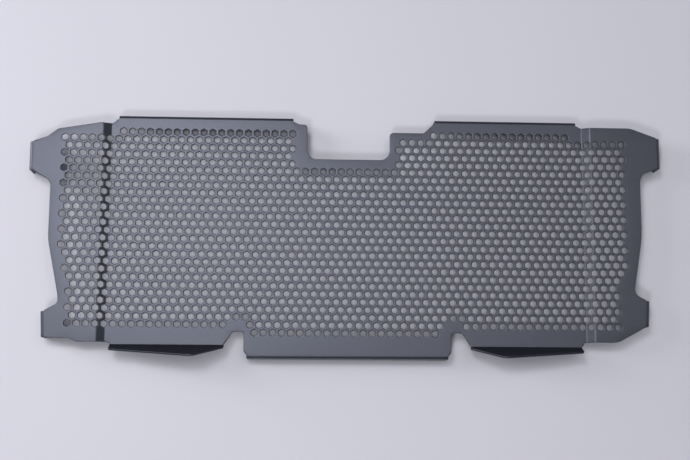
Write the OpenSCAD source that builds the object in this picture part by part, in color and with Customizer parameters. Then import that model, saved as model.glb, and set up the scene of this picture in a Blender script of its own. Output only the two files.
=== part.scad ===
// Radiator guard for a motorcycle: one perforated sheet of aluminium with a cut outline, joggled
// side wings, flanges folded back along its edges and two fins folded forward below.
// X runs along the rows of holes, Y from the lower edge to the upper one, and Z towards the front.
// The guard lies on the edges of its flanges, with its front face up. Millimetres.

/* [Sheet] */
// Thickness of the sheet
sheet_t = 1.5; // [1:0.1:2.5]
// Inside radius of every fold
bend_r = 1; // [0.6:0.1:2]
// Height of the panel's front face above the edges of the flanges that it lies on
panel_h = 15; // [10:0.5:30]

/* [Outline] */
// Width over the folded ends of the upper ears
overall_w = 462; // [450:1:490]
// Depth from the face of the bottom flange to the faces of the top flanges
overall_d = 176.4; // [170:0.2:190]
// Distance from the face of an upper ear in to the side edge of its wing
side_inset = 15.8; // [12:0.2:20]
// Distance from the face of an upper ear in to the face of the lower ear
lower_ear_inset = 12.5; // [6:0.5:14]
// Lean of the lower ears' folded ends
lower_ear_lean = 3; // [0:0.5:5]

/* [Joggles] */
// Distance from the face of an upper ear in to the middle of the joggle
joggle_inset = 55; // [50:0.5:58]
// Rise of the wings over the panel
joggle_rise = 3; // [1.5:0.1:5]
// Slope of the sheet between the two bends of a joggle
joggle_angle = 28; // [20:1:40]
// Inside radius of the joggle's bends
joggle_r = 2; // [1:0.1:3]

/* [Top notch] */
// Width of the notch
notch_w = 60.6; // [50:0.2:66]
// Depth of the notch below the faces of the top flanges
notch_depth = 30.7; // [20:0.1:34]
// Radius of the corners at the notch's floor
notch_r = 7; // [3:0.5:10]

/* [Flanges] */
// Distance from the notch's side to the left top flange
top_left_gap = 9.7; // [8:0.1:30]
// Distance from the notch's side to the right top flange
top_right_gap = 32.7; // [28:0.1:50]
// Distance from a top flange's outer end to the middle of the joggle
top_outer_gap = 7; // [6:0.5:12]
// Width of the tongue that carries the bottom flange
tongue_w = 149; // [130:1:152]
// Radius of the flanges' free corners
flange_corner_r = 3; // [1:0.5:5]

/* [Bottom notches] */
// Width of the floor of each notch beside the tongue
bottom_notch_w = 8; // [5:0.5:10]
// Depth of the notches above the face of the bottom flange
bottom_notch_depth = 19; // [14:0.5:20]

/* [Fins] */
// Distance from the fins' folds to the face of the bottom flange
fin_rise = 10.2; // [9:0.2:12]
// Distance from a fin's outer end to the middle of the joggle
fin_outer_gap = 6; // [5:0.5:12]
// Height of a fin at its outer end
fin_end_h = 7; // [4:0.5:12]
// Greatest height of a fin
fin_h = 17.5; // [12:0.5:18.5]
// Distance from a fin's inner end to its highest part
fin_peak = 23; // [18:1:40]
// Angle through which a fin is folded forward
fin_fold = 66; // [60:1:80]

/* [Perforation] */
// Width of a hole across its flats, at its narrowest
hole_flats = 4.4; // [3:0.1:5.4]
// Width of the web between two holes
web = 2.1; // [1.1:0.1:3.5]
// Distance from the faces of the top flanges to the middle of the first row
first_row = 11.8; // [11:0.1:14]
// Place of the second row's hole nearest to the middle
row_phase = 1.4; // [-3:0.1:3]

/* [Hidden] */
$fn = 48;

half_w = overall_w / 2;
side_x = half_w - side_inset;
low_ear_x = half_w - lower_ear_inset;
joggle_x = half_w - joggle_inset;
top_y = overall_d / 2;
bottom_y = -top_y;

// From the line where a flange's bend starts to the flange's outer face
fold_out = bend_r + sheet_t;
fold_steps = 6;
corner_step = 12;

// A fold's root reaches back over the sheet's edge, which lies just inside the bend's start
fold_lap = 0.4;
fold_root = 1.4;
shoulder = 0.6;
flat_root = 2 * fold_out;
fold_in = fold_out + fold_lap;
top_line = top_y - fold_in;
bottom_line = bottom_y + fold_in;
ear_line = half_w - fold_in;

// One side's joggle, followed along the middle of the sheet
joggle_mid_r = joggle_r + sheet_t / 2;
joggle_arc = joggle_mid_r * joggle_angle * PI / 180;
joggle_flat = (joggle_rise - 2 * joggle_mid_r * (1 - cos(joggle_angle))) / sin(joggle_angle);
joggle_run = 2 * joggle_mid_r * sin(joggle_angle) + joggle_flat * cos(joggle_angle);
joggle_start = joggle_x - joggle_run / 2;
joggle_end = joggle_start + joggle_run;
joggle_len = 2 * joggle_arc + joggle_flat;
wing_gain = joggle_len - joggle_run;

// Edges that the folds, notches and holes are placed from
notch_x = notch_w / 2;
notch_y = top_y - notch_depth;
tongue_x = tongue_w / 2;
bottom_notch_x = tongue_x + bottom_notch_w;
bottom_notch_y = bottom_y + bottom_notch_depth;
bottom_end_x = tongue_x - 1.5;
fin_line = bottom_y + fin_rise;
fin_inner_x = bottom_notch_x + 5.5;
fin_outer_x = joggle_x - fin_outer_gap;
top_left_x = [-notch_x - top_left_gap, -joggle_x + top_outer_gap + 0.5];
top_right_x = [joggle_x - top_outer_gap + 0.5, notch_x + top_right_gap];
left_wing_bottom = bottom_y + 11;
right_wing_bottom = bottom_y + 12.9;
ear_slant = tan(lower_ear_lean);

pitch = hole_flats + web;
row_gap = pitch * sin(60);
punch_h = 3 * sheet_t;
columns = ceil((half_w + wing_gain) / pitch);

// A round hole as open as the six-sided one of the given width
hole_d = hole_flats * sqrt(2 * sqrt(3) / PI);

function row_y(row) = top_y - first_row - row * row_gap;

// Corners of the cut sheet, in front view and anticlockwise: x, y and corner radius
lower_edge_right = [
    [bottom_end_x, bottom_line, 0],
    [tongue_x, bottom_line + 2.5, 1],
    [tongue_x, bottom_notch_y, 2.5],
    [bottom_notch_x, bottom_notch_y, 4],
    [fin_inner_x, fin_line, 0],
    [fin_outer_x, fin_line, 0],
    [fin_outer_x + 1.8, right_wing_bottom, 1],
    [low_ear_x - 23.1, right_wing_bottom, 12]
];
lower_right_ear = [
    [low_ear_x - fold_in, bottom_y + 24, 0],
    [low_ear_x - fold_in + 20 * ear_slant, bottom_y + 44, 0]
];
right_side = [
    [side_x - 7, bottom_y + 48.4, 6],
    [side_x, 2, 80],
    [side_x, 48.6, 8]
];
upper_right_ear = [
    [ear_line, top_y - 35.4, 0],
    [ear_line, top_y - 11.6, 0]
];
upper_edge_right = [
    [half_w - 22, top_y - 4.6, 15],
    [joggle_x - 3.4, top_y - 4.6, 1.5],
    [top_right_x[0], top_line, 0],
    [top_right_x[1], top_line, 0],
    [top_right_x[1] - 7.2, top_y - 10, 3],
    [notch_x, top_y - 10, 3],
    [notch_x, notch_y, notch_r]
];
upper_edge_left = [
    [-notch_x, notch_y, notch_r],
    [-notch_x, top_y - 5, 2.5],
    [top_left_x[0] + 3.4, top_y - 4.6, 2],
    [top_left_x[0], top_line, 0],
    [top_left_x[1], top_line, 0],
    [-joggle_x + 4, top_y - 6, 1.5],
    [-joggle_x - 5, top_y - 6.2, 6],
    [-half_w + 20, top_y - 11.2, 5],
    [-half_w + 12.5, top_y - 17, 5]
];
upper_left_ear = [
    [-ear_line, top_y - 20.4, 0],
    [-ear_line, top_y - 42.6, 0]
];
left_side = [
    [-side_x, 38.6, 6],
    [-side_x, -4, 40],
    [-side_x + 8.6, -45, 3],
    [-side_x + 8.6, -50.2, 4]
];
lower_left_ear = [
    [-low_ear_x + fold_in, bottom_y + 33, 0],
    [-low_ear_x + fold_in + 19.6 * ear_slant, bottom_y + 13.4, 0]
];
lower_edge_left = [
    [-low_ear_x + 20.5, bottom_y + 13.4, 4],
    [-low_ear_x + 25.9, left_wing_bottom, 4],
    [-fin_outer_x - 0.8, left_wing_bottom, 0],
    [-fin_outer_x, fin_line, 0],
    [-fin_inner_x, fin_line, 0],
    [-bottom_notch_x, bottom_notch_y, 4],
    [-tongue_x, bottom_notch_y, 2.5],
    [-tongue_x, bottom_line + 2.5, 1],
    [-bottom_end_x, bottom_line, 0]
];
outline = concat(lower_edge_right, lower_right_ear, right_side, upper_right_ear,
                 upper_edge_right, upper_edge_left, upper_left_ear, left_side,
                 lower_left_ear, lower_edge_left);

// Area that holds the middles of the holes, measured on the sheet before it is folded. The first
// row stands only under the top flanges, and the last one only over the tongue.
under_first_row = row_y(0.5);
over_first_row = row_y(-0.5);
over_tongue = bottom_line + 12.8;
beside_notches = bottom_notch_y + 7.7;
over_fins = fin_line + 11;
field = [
    [-side_x + 13.2, over_fins], [-fin_inner_x + 1.5, over_fins],
    [-fin_inner_x + 1.5, beside_notches], [-tongue_x + 3, beside_notches],
    [-tongue_x + 3, over_tongue], [tongue_x - 6.5, over_tongue],
    [tongue_x - 6.5, beside_notches], [bottom_notch_x, beside_notches],
    [bottom_notch_x, over_fins], [side_x - 17.2, over_fins],
    [side_x - 17.2, -33], [side_x - 11.2, -18], [side_x - 11.2, under_first_row],
    [top_right_x[0] - 5.5, under_first_row], [top_right_x[0] - 5.5, over_first_row],
    [top_right_x[1] - 3, over_first_row], [top_right_x[1] - 3, under_first_row],
    [notch_x + 5.2, under_first_row], [notch_x + 5.2, notch_y - 6.5],
    [-notch_x - 8.7, notch_y - 6.5], [-notch_x - 8.7, over_first_row],
    [top_left_x[1] + 1, over_first_row], [top_left_x[1] + 1, under_first_row],
    [-side_x + 7.2, under_first_row], [-side_x + 7.2, -14], [-side_x + 13.2, -33]
];

function unit(v) = v / norm(v);
function xy(p) = [p.x, p.y];

// Points of the arc that rounds corner b between a and c
function rounded_corner(a, b, c, r) =
    let (u = unit(a - b), v = unit(c - b), half = acos(u * v) / 2)
    let (middle = b + unit(u + v) * r / sin(half))
    let (from = b + u * r / tan(half) - middle, to = b + v * r / tan(half) - middle)
    let (start = atan2(from.y, from.x), turn = atan2(from.x * to.y - from.y * to.x, from * to))
    let (steps = max(2, ceil(abs(turn) / corner_step)))
    [for (i = [0 : steps]) middle + r * [cos(start + turn * i / steps), sin(start + turn * i / steps)]];

function rounded(corners) =
    let (n = len(corners))
    [for (i = [0 : n - 1])
        let (b = xy(corners[i]), a = xy(corners[(i + n - 1) % n]), c = xy(corners[(i + 1) % n]))
        each (corners[i][2] > 0 ? rounded_corner(a, b, c, corners[i][2]) : [b])];

function inside(p, loop) =
    let (n = len(loop))
    let (crossings = [for (i = [0 : n - 1])
        let (a = loop[i], b = loop[(i + 1) % n])
        if ((a.y > p.y) != (b.y > p.y) && p.x < a.x + (b.x - a.x) * (p.y - a.y) / (b.y - a.y)) 1])
    len(crossings) % 2 == 1;

// Where a point of the flat sheet lies once the joggles are bent: its distance from the middle,
// its height over the panel and the slope of the sheet there
function on_sheet(s) =
    let (d = s - joggle_start, e = joggle_len - d)
    d <= 0 ? [s, 0, 0] :
    e <= 0 ? [s - wing_gain, joggle_rise, 0] :
    d < joggle_arc ?
        let (a = joggle_angle * d / joggle_arc)
        [joggle_start + joggle_mid_r * sin(a), joggle_mid_r * (1 - cos(a)), a] :
    e < joggle_arc ?
        let (a = joggle_angle * e / joggle_arc)
        [joggle_end - joggle_mid_r * sin(a), joggle_rise - joggle_mid_r * (1 - cos(a)), a] :
    let (l = d - joggle_arc)
    [joggle_start + joggle_mid_r * sin(joggle_angle) + l * cos(joggle_angle),
     joggle_mid_r * (1 - cos(joggle_angle)) + l * sin(joggle_angle), joggle_angle];

// Stations along one side of the sheet at which its section turns
bend_steps = 4;
stations = concat(
    [for (i = [0 : bend_steps]) joggle_start + joggle_arc * i / bend_steps],
    [for (i = [0 : bend_steps]) joggle_start + joggle_len - joggle_arc * (1 - i / bend_steps)],
    [half_w + wing_gain]);

// Points of one side's front or back face, from the joggle outwards
function face_points(offset) = [for (s = stations)
    let (at = on_sheet(s))
    [at.x - offset * sin(at.z), at.y + offset * cos(at.z)]];
function mirrored(points) = [for (i = [len(points) - 1 : -1 : 0]) [-points[i].x, points[i].y]];

// Section of the whole sheet in the XZ plane, with the middle of the panel's thickness at 0
module joggled_section() {
    front = face_points(sheet_t / 2);
    back = face_points(-sheet_t / 2);
    polygon(concat(back, [for (i = [len(front) - 1 : -1 : 0]) front[i]],
                   [for (p = front) [-p.x, p.y]], mirrored(back)));
}

// The joggled sheet cut to its outline, with its front face at panel_h on the middle panel
module cut_sheet() {
    intersection() {
        translate([0, top_y, panel_h - sheet_t / 2])
            rotate([90, 0, 0])
                linear_extrude(overall_d)
                    joggled_section();
        linear_extrude(panel_h + joggle_rise + sheet_t)
            polygon(rounded(outline));
    }
}

// Section of a fold and of the flat behind it: x away from the sheet, y up from its front face
module fold_section(angle, reach) {
    centre = [0, -fold_out];
    inner_r = bend_r;
    outer_r = bend_r + sheet_t;
    along = reach * [cos(angle), -sin(angle)];
    turns = [for (i = [0 : fold_steps]) angle * i / fold_steps];
    polygon(concat(
        [[-fold_root, -sheet_t], [-fold_root, 0]],
        [for (a = turns) centre + outer_r * [sin(a), cos(a)]],
        [centre + outer_r * [sin(angle), cos(angle)] + along],
        [centre + inner_r * [sin(angle), cos(angle)] + along],
        [for (i = [fold_steps : -1 : 0]) centre + inner_r * [sin(turns[i]), cos(turns[i])]]));
}

// A fold along the sheet's edge from p to q, with the sheet on the left and a shoulder of the
// sheet left at each end. Its flat reaches to the given outline: x along the fold, y away from
// the bend's centre. A root of the same section laps over the sheet's edge.
module fold(p, q, angle, face_z, outline) {
    run = q - p;
    length = norm(run) - 2 * shoulder;
    reach = max([for (c = outline) c.y]) + 1;
    translate([p.x, p.y, face_z])
        rotate(atan2(run.y, run.x))
            translate([shoulder, -fold_lap, 0])
                intersection() {
                    translate([length + 1, 0, 0])
                        rotate([90, 0, -90])
                            linear_extrude(length + 2)
                                fold_section(angle, reach);
                    translate([0, 0, -fold_out])
                        rotate([angle, 0, 0])
                            mirror([0, 1, 0])
                                linear_extrude(2 * flat_root, center = true)
                                    polygon(rounded(outline));
                }
}

// Flange folded straight back, down to the plane that the guard lies on
module flange(p, q, face_z) {
    length = norm(q - p) - 2 * shoulder;
    depth = face_z - fold_out;
    fold(p, q, 90, face_z,
         [[0, -flat_root, 0], [length, -flat_root, 0], [length, depth, flange_corner_r],
          [0, depth, flange_corner_r]]);
}

// Right fin, folded towards the front, with its outer end at the right
module right_fin() {
    length = fin_outer_x - fin_inner_x - 2 * shoulder;
    translate([0, 0, 2 * panel_h - sheet_t])
        mirror([0, 0, 1])
            fold([fin_inner_x, fin_line], [fin_outer_x, fin_line], fin_fold, panel_h,
                 [[0, -flat_root, 0], [length, -flat_root, 0], [length, fin_end_h, 1.5],
                  [fin_peak + 2, fin_h, 6], [fin_peak - 2, fin_h, 6], [5, 5.5, 4], [0, 1.5, 0]]);
}

// Punch at a point of the flat sheet, square to the sheet
module punch(s, y) {
    side = s < 0 ? -1 : 1;
    at = on_sheet(abs(s));
    translate([side * at.x, y, panel_h - sheet_t / 2 + at.y])
        rotate([0, -side * at.z, 0])
            cylinder(h = punch_h, d = hole_d, center = true);
}

// All the holes, row by row from the top, every second row half a pitch across
module perforation() {
    for (row = [0 : floor((overall_d - 2 * first_row) / row_gap)], col = [-columns : columns]) {
        s = row_phase + (col + (row % 2 == 0 ? 0.5 : 0)) * pitch;
        if (inside([s, row_y(row)], field))
            punch(s, row_y(row));
    }
}

// All the sheet's folds: four ears, three flanges and two fins
module folds() {
    for (ear = [upper_right_ear, lower_right_ear, upper_left_ear, lower_left_ear])
        flange(xy(ear[0]), xy(ear[1]), panel_h + joggle_rise);
    for (top = [top_right_x, top_left_x])
        flange([top[0], top_line], [top[1], top_line], panel_h);
    flange([-bottom_end_x, bottom_line], [bottom_end_x, bottom_line], panel_h);
    right_fin();
    mirror([1, 0, 0])
        right_fin();
}

module guard_sheet() {
    color([0.3, 0.32, 0.34])
        difference() {
            union() {
                cut_sheet();
                folds();
            }
            perforation();
        }
}

guard_sheet();
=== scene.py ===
"""Looks of a powder-coated radiator guard: one perforated and folded sheet, lying on a pale floor."""

import math

import bmesh
import bpy
from mathutils import Matrix, Vector


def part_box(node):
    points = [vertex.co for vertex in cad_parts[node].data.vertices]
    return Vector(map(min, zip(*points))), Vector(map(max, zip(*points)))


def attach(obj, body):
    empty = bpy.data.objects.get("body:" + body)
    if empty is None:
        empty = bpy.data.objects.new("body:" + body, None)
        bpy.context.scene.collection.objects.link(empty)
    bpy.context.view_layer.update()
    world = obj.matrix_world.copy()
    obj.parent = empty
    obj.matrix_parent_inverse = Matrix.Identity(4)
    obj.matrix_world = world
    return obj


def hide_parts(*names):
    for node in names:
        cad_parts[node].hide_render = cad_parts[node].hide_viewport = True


MM = 0.001

# The sheet, in millimetres
SHEET_T = 1.5
PANEL_H = 15.0
BEND_R = 1.0
MIDDLE_R = BEND_R + SHEET_T / 2
FOLD_STEPS = 8

# Joggles between the panel and its side wings, with the middle of each at JOGGLE_X and the radius of
# the sheet's own middle
JOGGLE_X = 176.0
JOGGLE_RISE = 3.0
JOGGLE_ANGLE = math.radians(28)
JOGGLE_R = 2.0 + SHEET_T / 2
JOGGLE_STEPS = 5
JOGGLE_ARC = JOGGLE_R * JOGGLE_ANGLE
JOGGLE_SLOPE = (JOGGLE_RISE - 2 * JOGGLE_R * (1 - math.cos(JOGGLE_ANGLE))) / math.sin(JOGGLE_ANGLE)
JOGGLE_RUN = 2 * JOGGLE_R * math.sin(JOGGLE_ANGLE) + JOGGLE_SLOPE * math.cos(JOGGLE_ANGLE)
JOGGLE_LEN = 2 * JOGGLE_ARC + JOGGLE_SLOPE
JOGGLE_START = JOGGLE_X - JOGGLE_RUN / 2
WING_GAIN = JOGGLE_LEN - JOGGLE_RUN

# Notch in the upper edge, tongue at the lower one and the notches beside the tongue
NOTCH_X = 60.6 / 2
NOTCH_DEPTH = 30.7
NOTCH_R = 7.0
TONGUE_X = 149.0 / 2
BOTTOM_NOTCH_X = TONGUE_X + 8.0
BOTTOM_NOTCH_DEPTH = 19.0

# Distances from the faces of the upper ears in to the wings' sides and to the lower ears
SIDE_INSET = 15.8
LOWER_EAR_INSET = 12.5
LOWER_EAR_LEAN = math.radians(3)

# Flanges. Their flats join the sheet a little before the bend, between two shoulders.
FOLD_LAP = 0.4
FOLD_IN = BEND_R + SHEET_T + FOLD_LAP
SHOULDER = 0.6
FLANGE_CORNER_R = 3.0
PANEL_FLANGE = PANEL_H - BEND_R - SHEET_T
WING_FLANGE = PANEL_FLANGE + JOGGLE_RISE
TOP_LEFT_GAP = 9.7
TOP_RIGHT_GAP = 32.7
TOP_OUTER_GAP = 7.0

# Fins, between the notches beside the tongue and the joggles
FIN_INNER_X = BOTTOM_NOTCH_X + 5.5
FIN_OUTER_X = JOGGLE_X - 6.0
FIN_RISE = 10.2
FIN_FOLD = math.radians(66)
FIN_H = 17.5
FIN_END_H = 7.0
FIN_PEAK = 23.0

# Honeycomb of holes
HOLE_FLATS = 4.4
WEB = 2.1
PITCH = HOLE_FLATS + WEB
ROW_GAP = PITCH * math.sin(math.radians(60))
FIRST_ROW = 11.8
ROW_PHASE = 1.4

# Largest turn of one step along a rounded corner
CORNER_TURN = math.radians(12)

# Rounding of the punched and cut rims under the coat. An edge that turns by more than RIM_ANGLE is one.
RIM_FRONT = 0.45
RIM_BACK = 0.2
RIM_ANGLE = math.radians(57)

# Powder coat: width of its faint patches, of the grain in its gloss and of its orange peel
PATCH = 45 * MM
GRAIN = 0.5 * MM
PEEL = 1.2 * MM
PEEL_DEPTH = 0.02 * MM

# Camera, fitted to the photo, whose width and focal length are in pixels
PHOTO_W = 690
PHOTO_FOCAL = 1200.0
SENSOR_W = 36.0
EYE = Vector((-42.4, -133.5, 874.8)) * MM
LOOK = Vector((0.0459, 0.159, -0.9862))
PHOTO_UP = Vector((-0.0043, 1.0, 0.0))

# Floor, in metres: it shows the lamps' light as far as the photo reaches and its own colour beyond
FLOOR_COLOUR = "#D2D1DC"
FLOOR_HALF = 4.0
LIT_REACH = 0.32
PLAIN_REACH = 0.48


def linear(colour):
    """Linear colour of an sRGB hex value."""
    parts = [int(colour[i:i + 2], 16) / 255 for i in (1, 3, 5)]
    return [c / 12.92 if c <= 0.04045 else ((c + 0.055) / 1.055) ** 2.4 for c in parts] + [1.0]


def half_sizes():
    """Half the width over the upper ears and half the depth over the flanges, from the frame."""
    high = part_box("guard_sheet")[1]
    return high[0] / MM, high[1] / MM


def wing(x):
    """Where a place on a wing lies on the flat sheet, before the joggles draw it in."""
    return x + math.copysign(WING_GAIN, x)


def outline_corners(half_w, top):
    """Corners of the sheet without its flats, anticlockwise: x, y, radius and the fold that starts there."""
    top_line = top - FOLD_IN
    ear_line = half_w - FOLD_IN
    low_ear = half_w - LOWER_EAR_INSET
    low_ear_line = low_ear - FOLD_IN
    slant = math.tan(LOWER_EAR_LEAN)
    side = half_w - SIDE_INSET
    notch_floor = top - NOTCH_DEPTH
    bottom_notch_floor = BOTTOM_NOTCH_DEPTH - top
    tongue_end = TONGUE_X - 1.5
    fin_line = FIN_RISE - top
    right_flange_end = NOTCH_X + TOP_RIGHT_GAP
    left_flange_end = -NOTCH_X - TOP_LEFT_GAP
    lower_right = [
        (tongue_end, -top_line, 0, None),
        (TONGUE_X, 2.5 - top_line, 1, None),
        (TONGUE_X, bottom_notch_floor, 2.5, None),
        (BOTTOM_NOTCH_X, bottom_notch_floor, 4, None),
        (FIN_INNER_X, fin_line, 0, "right fin"),
        (FIN_OUTER_X, fin_line, 0, None),
        (FIN_OUTER_X + 1.8, 12.9 - top, 1, None),
        (wing(low_ear - 23.1), 12.9 - top, 12, None),
    ]
    right_wing = [
        (wing(low_ear_line), 24 - top, 0, "ear"),
        (wing(low_ear_line + 20 * slant), 44 - top, 0, None),
        (wing(side - 7), 48.4 - top, 6, None),
        (wing(side), 2, 80, None),
        (wing(side), 48.6, 8, None),
        (wing(ear_line), top - 35.4, 0, "ear"),
        (wing(ear_line), top - 11.6, 0, None),
    ]
    upper_right = [
        (wing(half_w - 22), top - 4.6, 15, None),
        (JOGGLE_X - 3.4, top - 4.6, 1.5, None),
        (JOGGLE_X - TOP_OUTER_GAP + 0.5, top_line, 0, "top"),
        (right_flange_end, top_line, 0, None),
        (right_flange_end - 7.2, top - 10, 3, None),
        (NOTCH_X, top - 10, 3, None),
        (NOTCH_X, notch_floor, NOTCH_R, None),
    ]
    upper_left = [
        (-NOTCH_X, notch_floor, NOTCH_R, None),
        (-NOTCH_X, top - 5, 2.5, None),
        (left_flange_end + 3.4, top - 4.6, 2, None),
        (left_flange_end, top_line, 0, "top"),
        (TOP_OUTER_GAP + 0.5 - JOGGLE_X, top_line, 0, None),
        (4 - JOGGLE_X, top - 6, 1.5, None),
        (wing(-JOGGLE_X - 5), top - 6.2, 6, None),
        (wing(20 - half_w), top - 11.2, 5, None),
        (wing(12.5 - half_w), top - 17, 5, None),
    ]
    left_wing = [
        (wing(-ear_line), top - 20.4, 0, "ear"),
        (wing(-ear_line), top - 42.6, 0, None),
        (wing(-side), 38.6, 6, None),
        (wing(-side), -4, 40, None),
        (wing(8.6 - side), -45, 3, None),
        (wing(8.6 - side), -50.2, 4, None),
        (wing(-low_ear_line), 33 - top, 0, "ear"),
        (wing(19.6 * slant - low_ear_line), 13.4 - top, 0, None),
    ]
    lower_left = [
        (wing(20.5 - low_ear), 13.4 - top, 4, None),
        (wing(25.9 - low_ear), 11 - top, 4, None),
        (-FIN_OUTER_X - 0.8, 11 - top, 0, None),
        (-FIN_OUTER_X, fin_line, 0, "left fin"),
        (-FIN_INNER_X, fin_line, 0, None),
        (-BOTTOM_NOTCH_X, bottom_notch_floor, 4, None),
        (-TONGUE_X, bottom_notch_floor, 2.5, None),
        (-TONGUE_X, 2.5 - top_line, 1, None),
        (-tongue_end, -top_line, 0, "bottom"),
    ]
    return lower_right + right_wing + upper_right + upper_left + left_wing + lower_left


def field_corners(half_w, top):
    """Area that holds the middles of the holes, on the flat sheet. The first row stands only under the
    top flanges, and the last one only over the tongue."""
    side = half_w - SIDE_INSET
    right_start = NOTCH_X + TOP_RIGHT_GAP - 3
    right_end = JOGGLE_X - TOP_OUTER_GAP - 5
    left_end = TOP_OUTER_GAP + 1.5 - JOGGLE_X
    over_first_row = top - FIRST_ROW + ROW_GAP / 2
    under_first_row = top - FIRST_ROW - ROW_GAP / 2
    under_notch = top - NOTCH_DEPTH - 6.5
    over_tongue = FOLD_IN + 12.8 - top
    beside_notches = BOTTOM_NOTCH_DEPTH + 7.7 - top
    over_fins = FIN_RISE + 11 - top
    lower = [
        (13.2 - side, over_fins), (1.5 - FIN_INNER_X, over_fins),
        (1.5 - FIN_INNER_X, beside_notches), (3 - TONGUE_X, beside_notches),
        (3 - TONGUE_X, over_tongue), (TONGUE_X - 6.5, over_tongue),
        (TONGUE_X - 6.5, beside_notches), (BOTTOM_NOTCH_X, beside_notches),
        (BOTTOM_NOTCH_X, over_fins), (side - 17.2, over_fins),
    ]
    right = [
        (side - 17.2, -33), (side - 11.2, -18), (side - 11.2, under_first_row),
        (right_end, under_first_row), (right_end, over_first_row),
        (right_start, over_first_row), (right_start, under_first_row),
        (NOTCH_X + 5.2, under_first_row), (NOTCH_X + 5.2, under_notch),
    ]
    left = [
        (-NOTCH_X - 8.7, under_notch), (-NOTCH_X - 8.7, over_first_row),
        (left_end, over_first_row), (left_end, under_first_row),
        (7.2 - side, under_first_row), (7.2 - side, -14), (13.2 - side, -33),
    ]
    return lower + right + left


def inside(x, y, loop):
    """Whether a point lies inside a closed loop of corners."""
    crossings = 0
    for (ax, ay), (bx, by) in zip(loop, loop[1:] + loop[:1]):
        if (ay > y) != (by > y) and x < ax + (bx - ax) * (y - ay) / (by - ay):
            crossings += 1
    return crossings % 2 == 1


def rounded(corners):
    """Points of an outline whose corners are rounded by their radius."""
    points = []
    for i, (x, y, radius) in enumerate(corners):
        here = Vector((x, y))
        if not radius:
            points.append(here)
            continue
        back = (Vector(corners[i - 1][:2]) - here).normalized()
        on = (Vector(corners[(i + 1) % len(corners)][:2]) - here).normalized()
        half = math.acos(max(-1, min(1, back.dot(on)))) / 2
        middle = here + (back + on).normalized() * radius / math.sin(half)
        start = here + back * radius / math.tan(half) - middle
        end = here + on * radius / math.tan(half) - middle
        turn = start.angle_signed(end)
        steps = max(2, math.ceil(abs(turn) / CORNER_TURN))
        for k in range(steps + 1):
            points.append(middle + Matrix.Rotation(-turn * k / steps, 2) @ start)
    return points


class Fold:
    """A straight fold between two corners of the sheet, with the flat that lies beyond it."""

    def __init__(self, start, end, kind):
        run = Vector(end) - Vector(start)
        self.along = run.normalized()
        self.out = Vector((self.along.y, -self.along.x))
        self.length = run.length - 2 * SHOULDER
        self.start = Vector(start) + self.along * SHOULDER + self.out * FOLD_LAP
        self.forward = kind in ("left fin", "right fin")
        self.angle = FIN_FOLD if self.forward else math.pi / 2
        self.arc = MIDDLE_R * self.angle
        self.kind = kind

    def flat_corners(self):
        """Corners of the flat beyond the bend: distance along the fold, distance beyond the bend, radius."""
        if not self.forward:
            depth = WING_FLANGE if self.kind == "ear" else PANEL_FLANGE
            return [(0, depth, FLANGE_CORNER_R), (self.length, depth, FLANGE_CORNER_R)]
        fin = [(0, 1.5, 0), (5, 5.5, 4), (FIN_PEAK - 2, FIN_H, 6), (FIN_PEAK + 2, FIN_H, 6),
               (self.length, FIN_END_H, 1.5)]
        if self.kind == "right fin":
            return fin
        return [(self.length - x, y, radius) for x, y, radius in reversed(fin)]

    def place(self, along, beyond):
        """A point of the blank, given along the fold and beyond the start of its bend."""
        return self.start + self.along * along + self.out * beyond

    def corners(self):
        """Corners that the fold adds to the sheet's outline."""
        ends = [self.place(0, -FOLD_LAP), self.place(self.length, -FOLD_LAP)]
        added = [(*self.place(x, y + self.arc), radius) for x, y, radius in self.flat_corners()]
        return [(*ends[0], 0), *added, (*ends[1], 0)]

    def beyond(self, point):
        """Distance of a point past the start of the bend, or 0 where the fold doesn't reach it."""
        offset = point.xy - self.start
        if -SHOULDER < offset.dot(self.along) < self.length + SHOULDER:
            return max(0.0, offset.dot(self.out))
        return 0.0

    def bend(self, bm):
        """Bend everything past the fold's line, on steps cut across the bend."""
        faces = [f for f in bm.faces if any(self.beyond(v.co) > 0 for v in f.verts)]
        for step in range(FOLD_STEPS + 1):
            line = self.place(0, self.arc * step / FOLD_STEPS)
            faces = cut_along(bm, faces, line, self.out)
        for vert in {v for f in faces for v in f.verts}:
            beyond = self.beyond(vert.co)
            if beyond > 0:
                vert.co = self.bent(vert.co, beyond)

    def bent(self, point, beyond):
        """Where a point past the start of the bend lies once the fold is made."""
        side = 1 if self.forward else -1
        turn = min(beyond, self.arc) / MIDDLE_R
        flat = max(0.0, beyond - self.arc)
        radius = MIDDLE_R - side * point.z
        reach = radius * math.sin(turn) + flat * math.cos(turn)
        drop = MIDDLE_R - radius * math.cos(turn) + flat * math.sin(turn)
        moved = point.xy + self.out * (reach - beyond)
        return Vector((*moved, side * drop))


def cut_along(bm, faces, line, across):
    """Cut faces by an upright plane through a point of the flat sheet, and give back all their parts."""
    edges = {e for f in faces for e in f.edges}
    verts = {v for f in faces for v in f.verts}
    geometry = [*faces, *edges, *verts]
    cut = bmesh.ops.bisect_plane(bm, geom=geometry, dist=1e-5, plane_co=(*line, 0), plane_no=(*across, 0))
    return [g for g in cut["geom"] if isinstance(g, bmesh.types.BMFace)]


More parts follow.
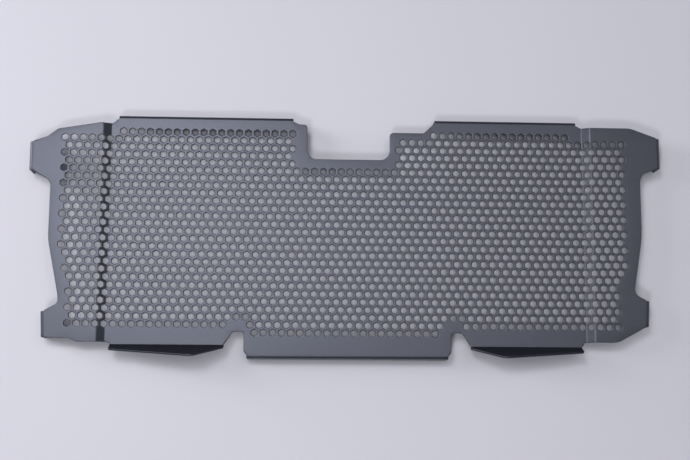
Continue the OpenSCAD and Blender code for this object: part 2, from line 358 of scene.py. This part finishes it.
def joggled(s):
    """Where a place of the flat sheet lies after the joggle: distance out, height and slope."""
    d = s - JOGGLE_START
    e = JOGGLE_LEN - d
    if d <= 0:
        return s, 0, 0
    if e <= 0:
        return s - WING_GAIN, JOGGLE_RISE, 0
    if e < JOGGLE_ARC:
        slope = e / JOGGLE_R
        out = JOGGLE_START + JOGGLE_RUN - JOGGLE_R * math.sin(slope)
        return out, JOGGLE_RISE - JOGGLE_R * (1 - math.cos(slope)), slope
    slope = min(d, JOGGLE_ARC) / JOGGLE_R
    flat = max(0.0, d - JOGGLE_ARC)
    out = JOGGLE_START + JOGGLE_R * math.sin(slope) + flat * math.cos(slope)
    return out, JOGGLE_R * (1 - math.cos(slope)) + flat * math.sin(slope), slope


def joggle_lines():
    """Distances from the middle at which the sheet is cut so that it can bend."""
    first = [JOGGLE_START + JOGGLE_ARC * i / JOGGLE_STEPS for i in range(JOGGLE_STEPS + 1)]
    last = JOGGLE_START + JOGGLE_LEN - JOGGLE_ARC
    return first + [last + JOGGLE_ARC * i / JOGGLE_STEPS for i in range(JOGGLE_STEPS + 1)]


def honeycomb_cells(bm, half_w, top):
    """One hexagonal cell of sheet round each hole, joined where two cells meet."""
    field = field_corners(half_w, top)
    rows = int(2 * (top - FIRST_ROW) / ROW_GAP) + 1
    columns = math.ceil(half_w / PITCH)
    for row in range(rows):
        y = top - FIRST_ROW - row * ROW_GAP
        for column in range(-columns, columns + 1):
            x = ROW_PHASE + (column + (0.5 if row % 2 == 0 else 0)) * PITCH
            if inside(x, y, field):
                bmesh.ops.create_circle(bm, cap_ends=True, segments=6, radius=PITCH / math.sqrt(3),
                                        matrix=Matrix.Translation((x, y, 0)))
    bmesh.ops.remove_doubles(bm, verts=bm.verts, dist=0.01)
    return list(bm.faces)


def flat_blank(bm):
    """The blank as it is cut and punched: a flat sheet with its outline, flats and holes."""
    half_w, top = half_sizes()
    corners = outline_corners(half_w, top)
    folds = []
    loop = []
    for i, (x, y, radius, kind) in enumerate(corners):
        loop.append((x, y, radius))
        if kind:
            folds.append(Fold((x, y), corners[(i + 1) % len(corners)][:2], kind))
            loop += folds[-1].corners()
    cells = honeycomb_cells(bm, half_w, top)
    rim = [e for e in bm.edges if e.is_boundary]
    ring = [bm.verts.new((*p, 0)) for p in rounded(loop)]
    rim += [bm.edges.new((a, b)) for a, b in zip(ring, ring[1:] + ring[:1])]
    bmesh.ops.triangle_fill(bm, use_beauty=True, edges=rim, normal=(0, 0, 1))
    bmesh.ops.inset_individual(bm, faces=cells, thickness=WEB / 2, use_even_offset=True)
    bmesh.ops.delete(bm, geom=cells, context="FACES")
    return folds


def thicken(bm):
    """Give the blank its thickness and ease the rims that the punch and the cutter leave."""
    front = list(bm.faces)
    made = bmesh.ops.extrude_face_region(bm, geom=front, use_keep_orig=True)["geom"]
    back = [v for v in made if isinstance(v, bmesh.types.BMVert)]
    bmesh.ops.translate(bm, verts=back, vec=(0, 0, -SHEET_T / 2))
    moved = set(back)
    bmesh.ops.translate(bm, verts=[v for v in bm.verts if v not in moved], vec=(0, 0, SHEET_T / 2))
    bmesh.ops.recalc_face_normals(bm, faces=bm.faces)
    for side, width, segments in ((1, RIM_FRONT, 2), (-1, RIM_BACK, 1)):
        rims = [e for e in bm.edges
                if all(v.co.z * side > 0 for v in e.verts) and e.calc_face_angle(0) > RIM_ANGLE]
        bmesh.ops.bevel(bm, geom=rims, offset=width, segments=segments, profile=0.5,
                        affect="EDGES", material=-1, clamp_overlap=False)


def joggle(bm):
    """Press the two joggles that lift the wings over the panel."""
    lines = joggle_lines()
    for side in (-1, 1):
        faces = [f for f in bm.faces
                 if max(side * v.co.x for v in f.verts) > lines[0]
                 and min(side * v.co.x for v in f.verts) < lines[-1]]
        for s in lines:
            faces = cut_along(bm, faces, Vector((side * s, 0)), Vector((1, 0)))
    for vert in bm.verts:
        side = math.copysign(1, vert.co.x)
        out, height, slope = joggled(abs(vert.co.x))
        out -= vert.co.z * math.sin(slope)
        height += vert.co.z * math.cos(slope)
        vert.co = Vector((side * out, vert.co.y, height))


def node(tree, kind, settings=None, **links):
    """Add a node, set its properties, and set or link its inputs by name."""
    made = tree.nodes.new(kind)
    for name, value in (settings or {}).items():
        setattr(made, name, value)
    for name, value in links.items():
        socket = made.inputs[name.replace("_", " ")]
        if isinstance(value, bpy.types.NodeSocket):
            tree.links.new(value, socket)
        else:
            socket.default_value = value
    return made


def mixed_shader(tree, share, first, second):
    """Mix of two shaders, with the second one's share."""
    made = node(tree, "ShaderNodeMixShader", Fac=share)
    tree.links.new(first, made.inputs[1])
    tree.links.new(second, made.inputs[2])
    return made.outputs["Shader"]


def material(name):
    """A new material and its empty node tree."""
    made = bpy.data.materials.new(name)
    made.use_nodes = True
    made.node_tree.nodes.clear()
    return made, made.node_tree


def satin_powder_coat():
    """Polyester powder baked on aluminium: a near-black satin skin with a fine orange peel, whose
    grey is the soft reflection of whatever light it faces. Polyester's IOR of about 1.55 is raised,
    and the reflection tinted cool, to bring out the photo's greys."""
    made, tree = material("satin_powder_coat")
    place = node(tree, "ShaderNodeTexCoord").outputs["Object"]
    patches = node(tree, "ShaderNodeTexNoise", Vector=place, Scale=1 / PATCH, Detail=2.0)
    tint = node(tree, "ShaderNodeValToRGB", Fac=patches.outputs["Fac"])
    tint.color_ramp.elements[0].position = 0.3
    tint.color_ramp.elements[0].color = linear("#14161A")
    tint.color_ramp.elements[1].position = 0.7
    tint.color_ramp.elements[1].color = linear("#191B20")
    grain = node(tree, "ShaderNodeTexNoise", Vector=place, Scale=1 / GRAIN, Detail=3.0)
    rough = node(tree, "ShaderNodeMapRange", Value=grain.outputs["Fac"], From_Min=0.3, From_Max=0.7,
                 To_Min=0.35, To_Max=0.42)
    peel = node(tree, "ShaderNodeTexNoise", Vector=place, Scale=1 / PEEL, Detail=1.0)
    bump = node(tree, "ShaderNodeBump", Strength=0.25, Distance=PEEL_DEPTH, Height=peel.outputs["Fac"])
    skin = node(tree, "ShaderNodeBsdfPrincipled", Base_Color=tint.outputs["Color"],
                Roughness=rough.outputs["Result"], IOR=1.85,
                Specular_Tint=linear("#E2E7FF"), Normal=bump.outputs["Normal"])
    node(tree, "ShaderNodeOutputMaterial", Surface=skin.outputs["BSDF"])
    return made


def pale_floor():
    """A plain matt board, pale and slightly cool. Beyond the photo's reach the camera sees its plain
    colour, while the coat still mirrors the lit board."""
    made, tree = material("pale_floor")
    place = node(tree, "ShaderNodeTexCoord").outputs["Object"]
    reach = node(tree, "ShaderNodeVectorMath", {"operation": "LENGTH"}, Vector=place)
    fade = node(tree, "ShaderNodeMapRange", {"interpolation_type": "SMOOTHSTEP"},
                Value=reach.outputs["Value"], From_Min=LIT_REACH, From_Max=PLAIN_REACH)
    seen = node(tree, "ShaderNodeLightPath").outputs["Is Camera Ray"]
    far = node(tree, "ShaderNodeMath", {"operation": "MULTIPLY"})
    tree.links.new(fade.outputs["Result"], far.inputs[0])
    tree.links.new(seen, far.inputs[1])
    board = node(tree, "ShaderNodeBsdfPrincipled", Base_Color=linear(FLOOR_COLOUR), Roughness=0.6)
    plain = node(tree, "ShaderNodeEmission", Color=linear(FLOOR_COLOUR))
    surface = mixed_shader(tree, far.outputs["Value"], board.outputs["BSDF"], plain.outputs["Emission"])
    node(tree, "ShaderNodeOutputMaterial", Surface=surface)
    return made


def mesh_object(name, bm, skin):
    """An object with the finished mesh and one material."""
    mesh = bpy.data.meshes.new(name)
    bm.to_mesh(mesh)
    bm.free()
    mesh.materials.append(skin)
    made = bpy.data.objects.new(name, mesh)
    bpy.context.collection.objects.link(made)
    return made


def perforated_sheet():
    """The guard: cut and punched flat, then folded along its edges and joggled at its sides."""
    bm = bmesh.new()
    folds = flat_blank(bm)
    thicken(bm)
    for fold in folds:
        fold.bend(bm)
    joggle(bm)
    bmesh.ops.translate(bm, verts=bm.verts, vec=(0, 0, PANEL_H - SHEET_T / 2))
    bmesh.ops.scale(bm, verts=bm.verts, vec=(MM, MM, MM))
    for face in bm.faces:
        face.smooth = True
    made = mesh_object("perforated_sheet", bm, satin_powder_coat())
    shading = made.modifiers.new("flat faces, round rims", "WEIGHTED_NORMAL")
    shading.keep_sharp = True
    return made


def floor():
    """The board that the guard lies on."""
    bm = bmesh.new()
    bmesh.ops.create_grid(bm, x_segments=1, y_segments=1, size=FLOOR_HALF)
    return mesh_object("floor", bm, pale_floor())


def lamp(name, place, aim, size, power):
    """A rectangular soft lamp that points at a place."""
    data = bpy.data.lights.new(name, "AREA")
    data.shape = "RECTANGLE"
    data.size, data.size_y = size
    data.energy = power
    made = bpy.data.objects.new(name, data)
    made.location = place
    made.rotation_euler = (Vector(aim) - Vector(place)).to_track_quat("-Z", "Y").to_euler()
    bpy.context.collection.objects.link(made)


def lamps():
    """Two broad lamps overhead and a low one at each side. The key and front lamps are smaller. Their
    light and the camera's view pass through neighbouring holes and meet on the floor below, so the
    floor shows bright through the holes as in the photo."""
    middle = (0, 0, 0)
    lamp("over_left", (-0.38, 0.22, 1.5), middle, (0.7, 0.8), 4.8)
    lamp("over_right", (0.32, 0.22, 1.5), middle, (0.6, 0.8), 3)
    lamp("key", (-0.343, 0.365, 1.5), middle, (0.28, 0.28), 4)
    lamp("front", (-0.327, -0.766, 1.4), middle, (0.28, 0.28), 6)
    lamp("left_window", (-1.1, 0.3, 0.45), (-0.1, 0, 0), (0.4, 0.9), 7)
    lamp("right_window", (1.2, 0.25, 0.5), (0.1, 0, 0), (0.4, 0.9), 1)


def room():
    """A dim, cool room, which the camera sees in the floor's colour."""
    world = bpy.data.worlds.new("studio")
    bpy.context.scene.world = world
    world.use_nodes = True
    tree = world.node_tree
    tree.nodes.clear()
    walls = node(tree, "ShaderNodeBackground", Color=linear("#DDE0EA"), Strength=0.17)
    backdrop = node(tree, "ShaderNodeBackground", Color=linear(FLOOR_COLOUR))
    seen = node(tree, "ShaderNodeLightPath").outputs["Is Camera Ray"]
    surface = mixed_shader(tree, seen, walls.outputs["Background"], backdrop.outputs["Background"])
    node(tree, "ShaderNodeOutputWorld", Surface=surface)


def camera():
    """The camera that took the photo."""
    data = bpy.data.cameras.new("camera")
    data.sensor_width = SENSOR_W
    data.lens = PHOTO_FOCAL / PHOTO_W * SENSOR_W
    made = bpy.data.objects.new("camera", data)
    look = LOOK.normalized()
    side = look.cross(PHOTO_UP).normalized()
    made.matrix_world = Matrix((side, side.cross(look), -look)).transposed().to_4x4()
    made.location = EYE
    bpy.context.collection.objects.link(made)
    bpy.context.scene.camera = made


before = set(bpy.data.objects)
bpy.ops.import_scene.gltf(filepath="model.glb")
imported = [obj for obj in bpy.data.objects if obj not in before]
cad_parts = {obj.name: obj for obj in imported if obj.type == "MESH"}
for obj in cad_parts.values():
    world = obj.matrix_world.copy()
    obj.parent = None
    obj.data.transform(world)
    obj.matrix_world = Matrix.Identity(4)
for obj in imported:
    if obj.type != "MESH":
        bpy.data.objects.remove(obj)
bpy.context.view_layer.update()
bpy.context.scene.view_settings.view_transform = "Standard"
camera()
lamps()
room()
floor()
sheet = perforated_sheet()
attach(sheet, "root")
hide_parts("guard_sheet")
